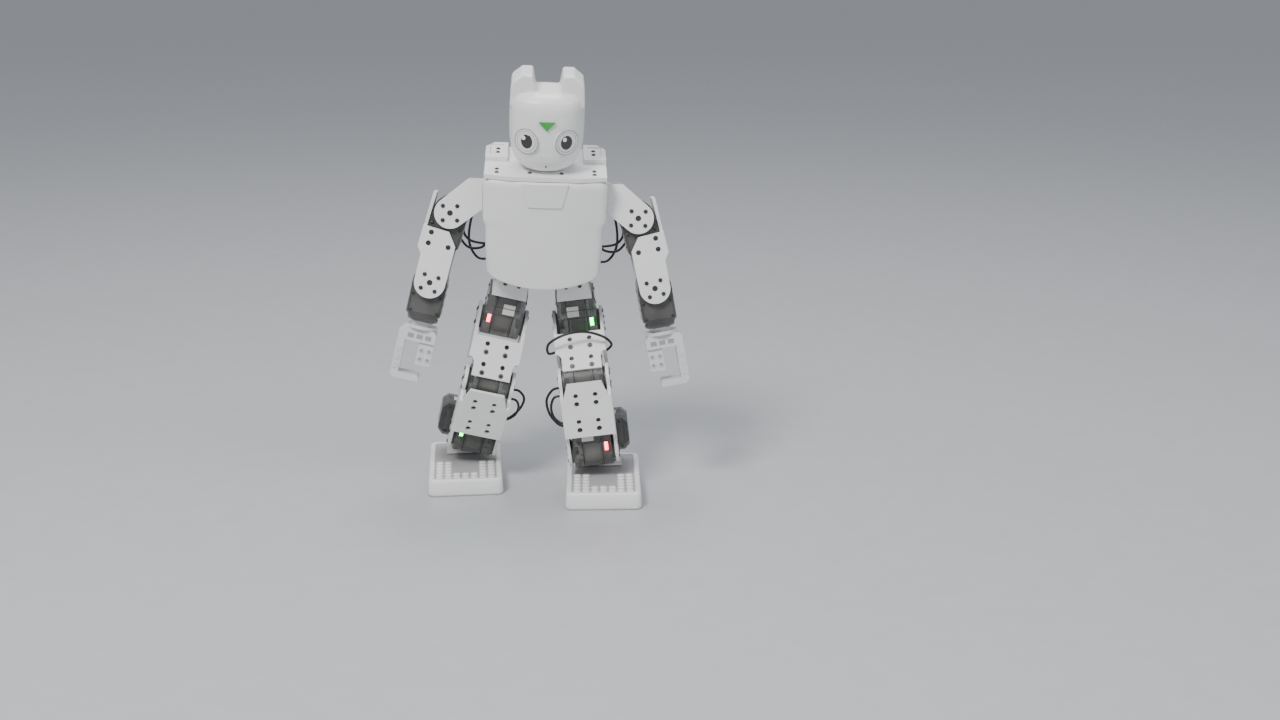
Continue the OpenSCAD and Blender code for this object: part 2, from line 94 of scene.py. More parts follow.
# ---------------------------------------------------------------- camera
# distance in metres, height of the camera above its target, its downward tilt and turn, in degrees
torso_mid = F["torso"] @ Vector((0, 0, 0.05))
DIST, SIGHT, PITCH, YAW = 1.468, 10.4, 15.45, 3.47
cam_data = bpy.data.cameras.new("camera")
cam_data.lens = 45
cam_data.sensor_width = 36
cam = bpy.data.objects.new("camera", cam_data)
cam.location = torso_mid + Vector((0, -DIST * cos(radians(SIGHT)), DIST * sin(radians(SIGHT))))
cam.rotation_euler = (radians(90 - PITCH), 0, radians(-YAW))
bpy.context.scene.collection.objects.link(cam)
bpy.context.scene.camera = cam


# ---------------------------------------------------------------- materials


def nodes_of(name):
    m = bpy.data.materials.new(name)
    m.use_nodes = True
    n, l = m.node_tree.nodes, m.node_tree.links
    return m, n, l, n["Principled BSDF"]


def plastic(name, base, rough=0.4, grain=1400, bump=0.05, spread=0.03, edge=0.0004, alpha=1.0,
            transmission=0.0, coat=0.0, subsurface=0.0):
    """Moulded plastic: a fine spark-eroded grain, faint clouding of the colour and softened edges."""
    m, n, l, b = nodes_of(name)
    co = n.new("ShaderNodeTexCoord")
    cloud = n.new("ShaderNodeTexNoise")
    cloud.inputs["Scale"].default_value = 38
    cloud.inputs["Detail"].default_value = 5
    l.new(co.outputs["Object"], cloud.inputs["Vector"])
    ramp = n.new("ShaderNodeValToRGB")
    ramp.color_ramp.elements[0].position = 0.3
    ramp.color_ramp.elements[1].position = 0.7
    ramp.color_ramp.elements[0].color = [max(0, c - spread) for c in base] + [1]
    ramp.color_ramp.elements[1].color = [min(1, c + spread) for c in base] + [1]
    l.new(cloud.outputs["Fac"], ramp.inputs["Fac"])
    l.new(ramp.outputs["Color"], b.inputs["Base Color"])
    fine = n.new("ShaderNodeTexNoise")
    fine.inputs["Scale"].default_value = grain
    fine.inputs["Detail"].default_value = 2
    l.new(co.outputs["Object"], fine.inputs["Vector"])
    smear = n.new("ShaderNodeTexNoise")
    smear.inputs["Scale"].default_value = 90
    smear.inputs["Detail"].default_value = 6
    l.new(co.outputs["Object"], smear.inputs["Vector"])
    rr = n.new("ShaderNodeMapRange")
    rr.inputs["To Min"].default_value = max(0.05, rough - 0.09)
    rr.inputs["To Max"].default_value = rough + 0.09
    l.new(smear.outputs["Fac"], rr.inputs["Value"])
    l.new(rr.outputs["Result"], b.inputs["Roughness"])
    bp = n.new("ShaderNodeBump")
    bp.inputs["Strength"].default_value = bump
    bp.inputs["Distance"].default_value = 0.0003
    l.new(fine.outputs["Fac"], bp.inputs["Height"])
    if edge:
        bv = n.new("ShaderNodeBevel")
        bv.samples = 4
        bv.inputs["Radius"].default_value = edge
        l.new(bv.outputs["Normal"], bp.inputs["Normal"])
    l.new(bp.outputs["Normal"], b.inputs["Normal"])
    b.inputs["Coat Weight"].default_value = coat
    b.inputs["Transmission Weight"].default_value = transmission
    b.inputs["Subsurface Weight"].default_value = subsurface
    if subsurface:
        b.inputs["Subsurface Radius"].default_value = (0.003, 0.003, 0.003)
        b.inputs["Subsurface Scale"].default_value = 1.0
    b.inputs["Alpha"].default_value = alpha
    return m


def glow(name, colour, power):
    m, n, l, b = nodes_of(name)
    b.inputs["Base Color"].default_value = (*colour, 1)
    b.inputs["Emission Color"].default_value = (*colour, 1)
    b.inputs["Emission Strength"].default_value = power
    b.inputs["Roughness"].default_value = 0.2
    return m


WHITE = plastic("white_shell", (0.80, 0.80, 0.79), 0.36, 1100, 0.04, 0.012, coat=0.15, subsurface=0.1)
BRACKET = plastic("white_bracket", (0.79, 0.79, 0.78), 0.46, 1500, 0.08, 0.02)
FOOT = plastic("foot_white", (0.80, 0.80, 0.80), 0.42, 1500, 0.07, 0.015, edge=0.0005)
# painted shade: the sunken tread is the same white plastic, coloured darker for the shade in its recess
TREAD_PAINTED_SHADE = plastic("foot_tread_painted_shade", (0.40, 0.39, 0.40), 0.6, 900, 0.2, 0.02, edge=0)
MILKY = plastic("milky_plastic", (0.74, 0.75, 0.77), 0.28, 1200, 0.05, 0.02, transmission=0.12, coat=0.3,
                subsurface=0.15)
SMOKE = plastic("smoky_case", (0.10, 0.10, 0.095), 0.22, 900, 0.03, 0.03, alpha=0.68, coat=0.4)
CORE = plastic("servo_core", (0.26, 0.26, 0.25), 0.35, 300, 0.3, 0.08)
BRASS = plastic("gear_metal", (0.45, 0.43, 0.38), 0.3, 500, 0.1, 0.05)
# dark plastic for the power button and the case grooves, and painted shade where it stands for holes, screw
# sockets and the chin pinhole
DARK = plastic("dark_plastic_and_hole_shade", (0.03, 0.03, 0.032), 0.4, 1200, 0.06, 0.01)
HORN = plastic("horn_plastic", (0.16, 0.16, 0.17), 0.4, 1200, 0.06, 0.02)
LABEL = plastic("blank_label", (0.72, 0.72, 0.68), 0.55, 2200, 0.03, 0.03, edge=0)
CABLE = plastic("cable_sheath", (0.012, 0.012, 0.013), 0.38, 1600, 0.05, 0.004, edge=0)
GREY = plastic("grey_ring", (0.30, 0.31, 0.32), 0.35, 1200, 0.04, 0.02, edge=0)
PUPIL = plastic("pupil", (0.006, 0.006, 0.007), 0.12, 800, 0.01, 0.003, coat=1.0, edge=0)
# painted highlight: a white dot on each pupil stands in for the reflection of the light
PAINTED_HIGHLIGHT = plastic("eye_painted_highlight", (0.9, 0.9, 0.9), 0.2, 800, 0.01, 0.01, edge=0)
GREEN = plastic("green_light", (0.03, 0.36, 0.05), 0.3, 1000, 0.03, 0.02, coat=0.4)
BLUE = plastic("battery_sleeve", (0.03, 0.07, 0.25), 0.35, 500, 0.1, 0.02)
BOARD = plastic("board_green", (0.02, 0.13, 0.05), 0.4, 700, 0.1, 0.02)
SCREW = plastic("screw_steel", (0.09, 0.09, 0.095), 0.28, 900, 0.08, 0.03, edge=0.0002)
SCREW.node_tree.nodes["Principled BSDF"].inputs["Metallic"].default_value = 0.8
LED_RED = glow("led_red", (1.0, 0.03, 0.06), 14)
LED_GREEN = glow("led_green", (0.03, 1.0, 0.12), 14)
LED_LIME = glow("led_lime", (0.6, 1.0, 0.1), 5)


# ---------------------------------------------------------------- mesh helpers, in millimetres
HORN_PITCH = 9   # radius of the circle of four screws on a servo horn
PLATE_OUT = 23.5  # outer face of a bracket plate, from the middle of the servo it holds


class Piece:
    """One mesh with several materials, drawn in a link's frame. Outboard is +X on both sides."""

    def __init__(self, name, body, link, s=1, offset=None, slot=None, stands_for=()):
        self.bm = bmesh.new()
        self.name, self.body, self.mats = name, body, []
        self.m = F[link] @ Matrix.Diagonal((s, 1, 1, 1)) @ Matrix.Scale(MM, 4)
        if offset is not None:
            self.m = self.m @ offset
        self.flip = s < 0
        self.slot, self.stands_for = slot, stands_for

    def mat(self, m):
        if m not in self.mats:
            self.mats.append(m)
        return self.mats.index(m)

    def tag(self, faces, m):
        i = self.mat(m)
        for f in faces:
            f.material_index = i

    def prism(self, outline, t0, t1, m, axis="y", x=None):
        """outline in (x, z) for axis y, (y, z) for axis x, (x, y) for axis z."""
        def p(a, b, t):
            return {"y": (a, t, b), "x": (t, a, b), "z": (a, b, t)}[axis]
        lo = [self.bm.verts.new(x @ Vector(p(a, b, t0)) if x else p(a, b, t0)) for a, b in outline]
        hi = [self.bm.verts.new(x @ Vector(p(a, b, t1)) if x else p(a, b, t1)) for a, b in outline]
        n = len(outline)
        fs = [self.bm.faces.new(lo[::-1]), self.bm.faces.new(hi)]
        for i in range(n):
            j = (i + 1) % n
            fs.append(self.bm.faces.new((lo[i], lo[j], hi[j], hi[i])))
        self.tag(fs, m)
        return fs

    def block(self, a, b, m, x=None):
        return self.prism([(a[0], a[1]), (b[0], a[1]), (b[0], b[1]), (a[0], b[1])], a[2], b[2], m, "z", x)

    def disc(self, c, r, h, m, axis="y", seg=32, taper=0.0, squash=1.0, x=None):
        """A round boss from c along the axis, h high (its sign gives the way), with a bevelled rim."""
        rings = [(r, 0.0), (r, h * (1 - taper)), (r - abs(h) * taper, h)] if taper else [(r, 0.0), (r, h)]
        rows = []
        for rr, t in rings:
            row = []
            for i in range(seg):
                a = 2 * pi * i / seg
                u, v = rr * cos(a), rr * squash * sin(a)
                q = {"y": (u, t, v), "x": (t, u, v), "z": (u, v, t)}[axis]
                q = Vector(c) + Vector(q)
                row.append(self.bm.verts.new(x @ q if x else q))
            rows.append(row)
        fs = [self.bm.faces.new(rows[0]), self.bm.faces.new(rows[-1])]
        for k in range(len(rows) - 1):
            for i in range(seg):
                j = (i + 1) % seg
                fs.append(self.bm.faces.new((rows[k][i], rows[k][j], rows[k + 1][j], rows[k + 1][i])))
        self.tag(fs, m)
        return fs

    def ring(self, c, r, minor, m, axis="y", seg=40, x=None):
        fs = []
        rows = []
        for i in range(seg):
            a = 2 * pi * i / seg
            row = []
            for k in range(8):
                b = 2 * pi * k / 8
                rr, t = r + minor * cos(b), minor * sin(b)
                u, v = rr * cos(a), rr * sin(a)
                q = {"y": (u, t, v), "x": (t, u, v), "z": (u, v, t)}[axis]
                q = Vector(c) + Vector(q)
                row.append(self.bm.verts.new(x @ q if x else q))
            rows.append(row)
        for i in range(seg):
            for k in range(8):
                j, n = (i + 1) % seg, (k + 1) % 8
                fs.append(self.bm.faces.new((rows[i][k], rows[j][k], rows[j][n], rows[i][n])))
        self.tag(fs, m)

    def screw(self, c, way, r=2.0, axis="y", x=None):
        """A pan head with a hexagon socket, drawn as a dark hexagon of painted shade. way is +1 or -1 along
        the axis.
        """
        self.disc(c, r, 0.9 * way, SCREW, axis, 20, 0.35, x=x)
        d = Vector({"y": (0, 0.92 * way, 0), "x": (0.92 * way, 0, 0), "z": (0, 0, 0.92 * way)}[axis])
        # painted shade: a flat dark hexagon stands for the socket's hollow
        self.disc(Vector(c) + d, r * 0.5, 0.04 * way, DARK, axis, 6, x=x)

    def horn_screws(self, c, way, axis="y"):
        for a in (45, 135, 225, 315):
            u, v = HORN_PITCH * cos(radians(a)), HORN_PITCH * sin(radians(a))
            d = Vector({"y": (u, 0, v), "x": (0, u, v)}[axis])
            self.screw(Vector(c) + d, way, 1.9, axis)
        inward = Vector({"y": (0, -1.6 * way, 0), "x": (-1.6 * way, 0, 0)}[axis])
        self.screw(Vector(c) + inward, way, 2.45, axis)

    def done(self, bevel=0.35, sharp=32):
        bmesh.ops.recalc_face_normals(self.bm, faces=self.bm.faces)
        self.bm.transform(self.m)
        if self.flip:
            bmesh.ops.reverse_faces(self.bm, faces=self.bm.faces)
        for e in self.bm.edges:
            if len(e.link_faces) == 2:
                e.smooth = e.calc_face_angle(pi) < radians(sharp)
        for f in self.bm.faces:
            f.smooth = True
        me = bpy.data.meshes.new(self.name)
        self.bm.to_mesh(me)
        self.bm.free()
        for m in self.mats:
            me.materials.append(m)
        o = bpy.data.objects.new(self.name, me)
        bpy.context.scene.collection.objects.link(o)
        if bevel:
            b = o.modifiers.new("bevel", "BEVEL")
            b.width = bevel * MM
            b.segments = 2
            b.limit_method = "ANGLE"
            b.angle_limit = radians(40)
            b.harden_normals = True
        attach(o, self.body)
        if self.stands_for:
            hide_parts(*self.stands_for)
        return o


# ---------------------------------------------------------------- cables, first


def smooth_route(p, steps=6):
    out = []
    n = len(p) - 1
    for k in range(steps * n + 1):
        t = k / steps
        i = min(int(t), n - 1)
        f = t - i
        a, b, c, d = (Vector(p[j]) for j in (max(i - 1, 0), i, i + 1, min(i + 2, n)))
        out.append(0.5 * (2 * b + (c - a) * f + (2 * a - 5 * b + 4 * c - d) * f * f
                          + (3 * b - a - 3 * c + d) * f ** 3))
    return out


def cable(name, route, link, s, body, node):
    m = F[link] @ Matrix.Diagonal((s, 1, 1, 1)) @ Matrix.Scale(MM, 4)
    pts = [m @ q for q in smooth_route(route)]
    cu = bpy.data.curves.new(name, "CURVE")
    cu.dimensions = "3D"
    sp = cu.splines.new("POLY")
    sp.points.add(len(pts) - 1)
    for q, p in zip(sp.points, pts):
        q.co = (*p, 1)
    cu.bevel_depth = 0.0012
    cu.bevel_resolution = 4
    cu.materials.append(CABLE)
    o = bpy.data.objects.new(name, cu)
    bpy.context.scene.collection.objects.link(o)
    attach(o, body)
    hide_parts(node)


# points of each cable, as in part.scad, in millimetres in its link's frame
TORSO_ROUTES = [
    [(52, 36, 46), (62, 38, 42), (72, 39, 32), (75, 38, 20), (68, 37, 11), (52, 35, 9)],
    [(52, 36, 54), (66, 40, 51), (80, 44, 38), (82, 44, 20), (72, 42, 3), (58, 38, 4), (52, 36, 14)],
    [(52, 40, 60), (60, 45, 52), (68, 47, 30), (70, 46, 6), (62, 42, -8), (50, 37, -6), (44, 35, 4)],
]
SHIN_ROUTES = [
    [(-23.5, 4, -6), (-31, 7, -8), (-38, 10, -18), (-37, 11, -32), (-30, 8, -42), (-23.5, 5, -44)],
    [(-23.5, -2, -12), (-30, -2, -13), (-34, 0, -22), (-33, 1, -32), (-28, 0, -38), (-23.5, -1, -39)],
]
THIGH_ROUTE = [(-23.5, -8, -32), (-30, -18, -37), (-28, -28, -32), (-12, -33, -27), (6, -32, -26),
               (22, -28, -31), (29, -18, -35), (23.5, -8, -36)]
for side, s in (("right", -1), ("left", 1)):
    for i, route in enumerate(TORSO_ROUTES):
        cable(f"{side}_torso_cable_{i + 1}", route, "torso", s, "torso", side + "_torso_cables")
    for i, route in enumerate(SHIN_ROUTES):
        cable(f"{side}_shin_cable_{i + 1}", route, side + "_shin", s, side + "_shin", side + "_shin_cables")
cable("left_thigh_cable_1", THIGH_ROUTE, "left_thigh", 1, "left_thigh", "left_thigh_cable")


# ---------------------------------------------------------------- servos


def rz(a):
    return Matrix.Rotation(radians(a), 4, "Z")


UP = Matrix.Diagonal((1, 1, -1, 1))
SERVO_R, FAR, HALF = 15.5, 34.5, 18.0   # round end, shaft to far end, half depth along the shaft
SEAM_IN, SEAM_OUT = 8.8, 9.4            # the two parting grooves of the case, from its middle
CASE_CHAMFER = 5


def servo_outline(inset=0.0):
    r, f, c = SERVO_R - inset, FAR - inset, CASE_CHAMFER
    pts = [(r * cos(radians(a)), r * sin(radians(a))) for a in range(0, 181, 12)]
    return pts + [(-r, c - f), (c - r, -f), (r - c, -f), (r, c - f)]


def servo(p, x=None, led=None, led_side=1):
    """Case in three shells with the motor and gears showing through, boss, screws, blank label and light."""
    x = x or Matrix.Identity(4)
    full, slim = servo_outline(), servo_outline(0.5)
    for a, b in ((-HALF, -SEAM_OUT), (-SEAM_IN, SEAM_IN), (SEAM_OUT, HALF)):
        p.prism(full, a, b, SMOKE, "y", x)
    for a, b in ((-SEAM_OUT, -SEAM_IN), (SEAM_IN, SEAM_OUT)):
        p.prism(slim, a, b, DARK, "y", x)
    # works inside, seen through the smoky case
    p.disc((0, -7, 0), 11.5, 14, BRASS, "y", 24, x=x)
    p.disc((-3, 10.5, -18), 7, 3.5, BRASS, "y", 20, x=x)
    p.block((-12.5, -8, -31), (4, 8, -15), CORE, x)
    p.block((6, -8.4, -30), (13, 8.4, -16), CORE, x)
    p.block((-13, -16, -29), (13, -12, -12), CORE, x)
    for e in (-1, 1):
        y = e * HALF
        p.ring((0, y, 0), 13.6, 0.35, SMOKE, "y", x=x)
        for cx, cz in ((-12.2, -27.5), (12.2, -27.5), (-12.6, -13), (12.6, -13)):
            p.screw((cx, y - e * 0.4, cz), e, 1.5, "y", x)
    for e in (-1, 1):
        # narrow sides: ribs, a parting line and the blank label
        u = e * SERVO_R
        for z in (-12, -20):
            p.block((min(u, u + e * 0.35), -14, z), (max(u, u + e * 0.35), 14, z + 0.8), SMOKE, x)
        p.block((min(u, u + e * 0.12), -2, -24), (max(u, u + e * 0.12), 9, -13.5), LABEL, x)
        for y in (-14.5, 14.5):
            p.disc((u - e * 0.2, y, -4), 1.6, e * 0.5, SCREW, "x", 16, x=x)
    if led:
        for e in (-1, 1):
            u = e * (SERVO_R + 0.1)
            p.block((min(u, u + e * 0.4), led_side * 13 - 1.6, -11),
                    (max(u, u + e * 0.4), led_side * 13 + 1.6, -3), led, x)


ACROSS = rz(90) @ UP
OUTBOARD = Matrix.Rotation(radians(-90), 4, "Y")
# where the servo shafts lie in their link's frame
SHOULDER_X, SHOULDER_Z, HIP_X = 34.5, 72, 26.5
HIP_DROP, KNEE_DROP, ROLL_Y, ROLL_Z = 54.5, 60, 33.5, 7


def torso_servos():
    """The two pairs of servos inside the torso, with the lights that show at the shoulders."""
    p = Piece("shoulder_servo_pair", "torso", "torso", slot="servo_case", stands_for=["shoulder_servos"])
    for s in (-1, 1):
        servo(p, Matrix.Translation((s * SHOULDER_X, 0, SHOULDER_Z)) @ rz(90))
        p.disc((s * 50.5, -9, 87.2), 2.4, 0.5, LED_LIME, "z", 16)
    p.done(0.5)
    p = Piece("hip_roll_servo_pair", "torso", "torso", slot="servo_case", stands_for=["hip_roll_servos"])
    for s in (-1, 1):
        servo(p, Matrix.Translation((s * HIP_X, 0, 0)) @ UP)
    p.done(0.5)


torso_servos()
# lights that show in each servo
LEDS = {"right_hip": LED_RED, "left_hip": LED_GREEN, "right_knee": LED_GREEN, "right_ankle": LED_GREEN,
        "left_ankle": LED_RED}


def limb_servos(k, s):
    """The six servos of one side."""
    for part, link, x in (("upper_arm", "upper_arm", None), ("forearm", "forearm", None),
                          ("hip", "hip", Matrix.Translation((0, 0, -HIP_DROP)) @ ACROSS),
                          ("knee", "thigh", Matrix.Translation((0, 0, -KNEE_DROP)) @ ACROSS),
                          ("ankle", "ankle", ACROSS),
                          ("ankle_roll", "ankle", Matrix.Translation((0, ROLL_Y, ROLL_Z)) @ OUTBOARD)):
        p = Piece(k + part + "_servo_model", k + link, k + link, s, slot="servo_case",
                  stands_for=[k + part + "_servo"])
        servo(p, x, LEDS.get(k + part), -1)
        p.done(0.5)


for side, s in (("right", -1), ("left", 1)):
    limb_servos(side + "_", s)

# ---------------------------------------------------------------- head
HEAD = Matrix.Translation((0, -12, 107))
# height, half width, depth to the front and to the back of each level of the head
LEVELS = [(0, 12, 15, 13), (1.2, 17, 19.5, 17), (3.5, 22, 23.5, 21), (7, 26, 26, 24), (12, 29, 28, 26.5),
          (18, 31, 29.3, 28), (26, 32.4, 29.9, 29), (36, 33, 30, 29.5), (48, 33, 30, 29.5),
          (57, 32.9, 29.3, 29), (61, 32.3, 28.4, 28.2), (65, 31, 26.6, 26.4), (68.5, 27.5, 23.2, 23),
          (70.6, 21, 17.5, 17.5), (71.2, 12, 10, 10)]


def head_shell():
    """A lofted head with two ears, remeshed into one smooth skin."""
    p = Piece("head_shell", "torso", "torso", offset=HEAD, slot="white_shell",
              stands_for=["face_shell", "rear_head_shell"])
    SEG, rows = 72, []
    for z, a, front, back in LEVELS:
        row = []
        for i in range(SEG):
            t = 2 * pi * i / SEG
            c, d = cos(t), sin(t)
            u = a * math.copysign(abs(c) ** 0.86, c)
            v = (front if d < 0 else back) * math.copysign(abs(d) ** 0.86, d)
            row.append(p.bm.verts.new((u, v, z)))
        rows.append(row)
    fs = [p.bm.faces.new(rows[0][::-1]), p.bm.faces.new(rows[-1])]
    for k in range(len(rows) - 1):
        for i in range(SEG):
            j = (i + 1) % SEG
            fs.append(p.bm.faces.new((rows[k][i], rows[k][j], rows[k + 1][j], rows[k + 1][i])))
    p.tag(fs, WHITE)
    for e in (-1, 1):
        ear = [(9.8, 58), (10.4, 71), (12.8, 84.5), (14, 85.6), (22.5, 85.6), (31, 78.5), (32, 74), (32.6,
                                                                                                     58)]
        p.prism([(e * a, b) for a, b in ear][::e], -14, 17, WHITE, "y")
    head = p.done(0, sharp=180)
    r = head.modifiers.new("skin", "REMESH")
    r.mode = "VOXEL"
    r.voxel_size = 0.0010
    r.use_smooth_shade = True
    sm = head.modifiers.new("soften", "SMOOTH")
    sm.factor = 0.6
    sm.iterations = 4


head_shell()


def face_details():
    """Round eyes with two rings each and a painted highlight on each pupil, and the pinhole in the chin as a
    dark dot of painted shade.
    """
    p = Piece("eye_pair", "torso", "torso", offset=HEAD, slot="eye", stands_for=["eyes"])
    for e in (-1, 1):
        x = rz(e * 27) @ Matrix.Translation((e * 3.6, -32, 31))
        p.disc((0, 4.5, 0), 11.6, -4.3, WHITE, "y", 64, 0.12, x=x)
        p.ring((0, 0.35, 0), 11.0, 0.42, GREY, "y", 64, x=x)
        p.ring((0, 0.25, 0), 8.9, 0.22, GREY, "y", 64, x=x)
        p.disc((0, 0.25, 0), 8.6, -0.35, WHITE, "y", 64, 0.3, x=x)
        p.disc((e * -0.6, 0, 0), 5.5, -0.35, PUPIL, "y", 48, 0.3, 1.15, x=x)
        # painted highlight: the white dot at the upper left of each pupil stands in for a reflection
        p.disc((-2.4, -0.3, 2.9), 1.9, -0.2, PAINTED_HIGHLIGHT, "y", 24, 0.3, x=x)
    p.done(0)
    p = Piece("pinhole", "torso", "torso", offset=HEAD, slot="button")
    # painted shade: a dark dot stands for the hole in the chin
    p.disc((0, -27.5, 8.5), 0.7, -1.1, DARK, "y", 16)
    p.done(0)


face_details()

# ---------------------------------------------------------------- chest cover


def arc_radius(half, rise):
    """Radius of the arc that rises by rise over a half width of half."""
    return (half * half + rise * rise) / (2 * rise)


CHEST_HALF, CHEST_BULGE, HEM_HALF, HEM_DROP = 55, 7, 48, 8
CR = arc_radius(CHEST_HALF, CHEST_BULGE)
HR = arc_radius(HEM_HALF, HEM_DROP)


def bow(x):
    return -45 + CR - sqrt(max(0, CR * CR - x * x))


def hem(x):
    x = abs(x)
    return HR - 1 - sqrt(HR * HR - min(x, HEM_HALF) ** 2) + (max(0, x - HEM_HALF) * 0.95)


def chest_shell():
    """The bowed front cover: a grid with rolled edges, thickened and smoothed."""
    path = [(54.0, -28), (54.7, -31), (55, -34), (54.5, -36.2), (53, -37.6), (50.5, bow(50.5))]
    path += [(x, bow(x)) for x in (46, 40, 33, 26, 20, 13, 6.5, 0)]
    path = [(-x, y) for x, y in path] + [(x, y) for x, y in path[-2::-1]]
    VS = [0, 0.012, 0.035, 0.1, 0.2, 0.3, 0.4, 0.5, 0.545, 0.57, 0.6, 0.64, 0.7, 0.8, 0.9, 0.945, 0.975,
          0.992, 1]
    p = Piece("chest_shell", "torso", "torso", slot="white_shell", stands_for=["chest_cover"])
    grid = []
    for x, y in path:
        top = 102 - max(0, abs(x) - 50) * 0.9
        low = hem(x)
        col = []
        for v in VS:
            z = low + (top - low) * v
            w = 1.0 if z > 62 else (0.955 if z < 57 else 0.955 + 0.045 * (z - 57) / 5)
            w *= 1 - 0.035 * max(0, 40 - z) / 40
            roll = max(0, z - (top - 5)) / 5
            col.append(p.bm.verts.new((x * w, y + 2.6 * roll * roll + (0.5 if v == 0 else 0), z)))
        grid.append(col)
    fs = []
    for i in range(len(grid) - 1):
        for k in range(len(VS) - 1):
            fs.append(p.bm.faces.new((grid[i][k], grid[i + 1][k], grid[i + 1][k + 1], grid[i][k + 1])))
    p.tag(fs, WHITE)
    chest = p.done(0, sharp=180)
    so = chest.modifiers.new("wall", "SOLIDIFY")
    so.thickness = 0.0025
    so.offset = -1
    ss = chest.modifiers.new("smooth", "SUBSURF")
    ss.levels = ss.render_levels = 2


chest_shell()


def chest_badge_plate():
    """The plain raised plate at the top of the chest."""
    p = Piece("chest_badge_plate", "torso", "torso", slot="white_shell")
    outer, n = [], 10
    for i in range(n + 1):
        t = i / n
        for z, hw in ((79, 15), (101, 20)):
            x = -hw + 2 * hw * t
            outer.append((x, bow(x), z))
    low = [p.bm.verts.new((a, b - 0.9, c)) for a, b, c in outer]
    back = [p.bm.verts.new((a * 1.03, b + 0.6, c + (-0.6 if i % 2 == 0 else 0.2)))
            for i, (a, b, c) in enumerate(outer)]
    fs = []
    for i in range(n):
        a, b, c, d = 2 * i, 2 * i + 2, 2 * i + 3, 2 * i + 1
        fs.append(p.bm.faces.new((low[a], low[b], low[c], low[d])))
        fs.append(p.bm.faces.new((back[d], back[c], back[b], back[a])))
        fs.append(p.bm.faces.new((low[a], back[a], back[b], low[b])))
        fs.append(p.bm.faces.new((low[d], low[c], back[c], back[d])))
    for a, b in ((0, 1), (2 * n, 2 * n + 1)):
        fs.append(p.bm.faces.new((low[a], low[b], back[b], back[a])))
    p.tag(fs, WHITE)
    p.done(0.25, sharp=30)


chest_badge_plate()

# heights of the deck front, and of the floor of the recesses in its raised rear blocks
DECK_TOP, BLOCK_TOP = 106.0, 108.8


def deck_screws():
    """Screws in the shoulder deck and the back cover, with a dark ring of painted shade around each deck
    screw.
    """
    p = Piece("deck_screws", "torso", "torso", slot="horn")
    for s in (-1, 1):
        for y, z in ((-31, DECK_TOP), (-23, DECK_TOP), (12, BLOCK_TOP), (21, BLOCK_TOP)):
            # painted shade: a dark ring around each deck screw stands for its hole
            p.disc((s * 43, y, z - 0.2), 2.1, 0.26, DARK, "z", 24)
            p.screw((s * 43, y, z), 1, 1.5, "z")
        p.disc((s * 14, -31, DECK_TOP - 0.2), 2.1, 0.26, DARK, "z", 24)
        p.screw((s * 14, -31, DECK_TOP), 1, 1.5, "z")
        for z in (12, 34, 92):
            p.screw((s * 44, 41.9, z), 1, 2.2, "y")
    p.done(0)


deck_screws()

# ---------------------------------------------------------------- limbs
INNER, OUTER, TOE, HEEL = -25, 45, -56, 62   # sides of the foot in its own frame
# column and row of each stud on the tread
STUDS = [(c, r) for r in (0, 1) for c in range(7)] + [(c, r) for r in (2, 3, 4, 5) for c in (0, 1, 5, 6)]


def link_screws(k, s):
    """Screws of one side, with dark and grey discs painted as the shade in holes, one piece for each link."""
    p = Piece(k + "shoulder_screws", k + "shoulder", k + "shoulder", s, slot="horn")
    for e in (-1, 1):
        p.horn_screws((28.5, e * PLATE_OUT, -16), e)
    p.horn_screws((3, 0, 0), 1, "x")
    p.done(0)
    p = Piece(k + "upper_arm_screws", k + "upper_arm", k + "upper_arm", s, slot="horn")
    for e in (-1, 1):
        p.horn_screws((0, e * PLATE_OUT, -65), e)
        for a, z in ((-7, -30), (11, -21), (11, -31)):
            p.screw((a, e * 22.3, z), e, 2.2)
    p.done(0)
    p = Piece(k + "hip_screws", k + "hip", k + "hip", s, slot="horn")
    for e in (-1, 1):
        p.horn_screws((0, e * PLATE_OUT, 0), e)
    p.done(0)
    p = Piece(k + "thigh_screws", k + "thigh", k + "thigh", s, slot="horn")
    for e in (-1, 1):
        p.horn_screws((e * PLATE_OUT, 0, 0), e, "x")
        for i, z in enumerate((-25.5, -33.5, -45, -53)):
            # painted shade: grey discs stand for the shaded walls of the larger recessed holes, dark discs
            # for the open smaller holes
            if i % 2:
                p.disc((e * 9, -17.5, z), 2.3, -0.5, GREY, "y", 24, 0.4)
                p.screw((e * 9, -17.8, z), -1, 1.7)
            else:
                p.disc((e * 9, -15.6, z), 2.2, -0.2, DARK, "y", 24)
    p.done(0)
    p = Piece(k + "shin_screws", k + "shin", k + "shin", s, slot="horn")
    for e in (-1, 1):
        p.horn_screws((e * PLATE_OUT, 0, 0), e, "x")
        p.horn_screws((e * PLATE_OUT, 0, -68), e, "x")
        # painted shade: dark discs stand for the open holes in the shin bracket
        for z in (-8, -16, -33, -41):
            p.disc((e * 9, -19.7, z), 2.2, -0.2, DARK, "y", 24)
    p.done(0)
    p = Piece(k + "foot_screws", k + "foot", k + "foot", s, slot="horn")
    p.horn_screws((0, 57, 0), 1)
    for a in (-10, 20):
        p.screw((a, 30, -28.5), 1, 2.2, "z")
        p.screw((a, 46, -28.5), 1, 2.2, "z")
    p.done(0)


def foot_plan(inset, c=6, n=5):
    """Outline of the foot, set in by inset, with rounded corners."""
    x0, x1, y0, y1 = INNER + inset, OUTER - inset, TOE + inset, HEEL - inset
    c = max(1.5, c - inset * 0.6)
    out = []
    for cx, cy, a0 in ((x1 - c, y1 - c, 0), (x0 + c, y1 - c, 90), (x0 + c, y0 + c, 180),
                       (x1 - c, y0 + c, 270)):
        for i in range(n + 1):
            a = radians(a0 + 90 * i / n)
            out.append((cx + c * cos(a), cy + c * sin(a)))
    return out


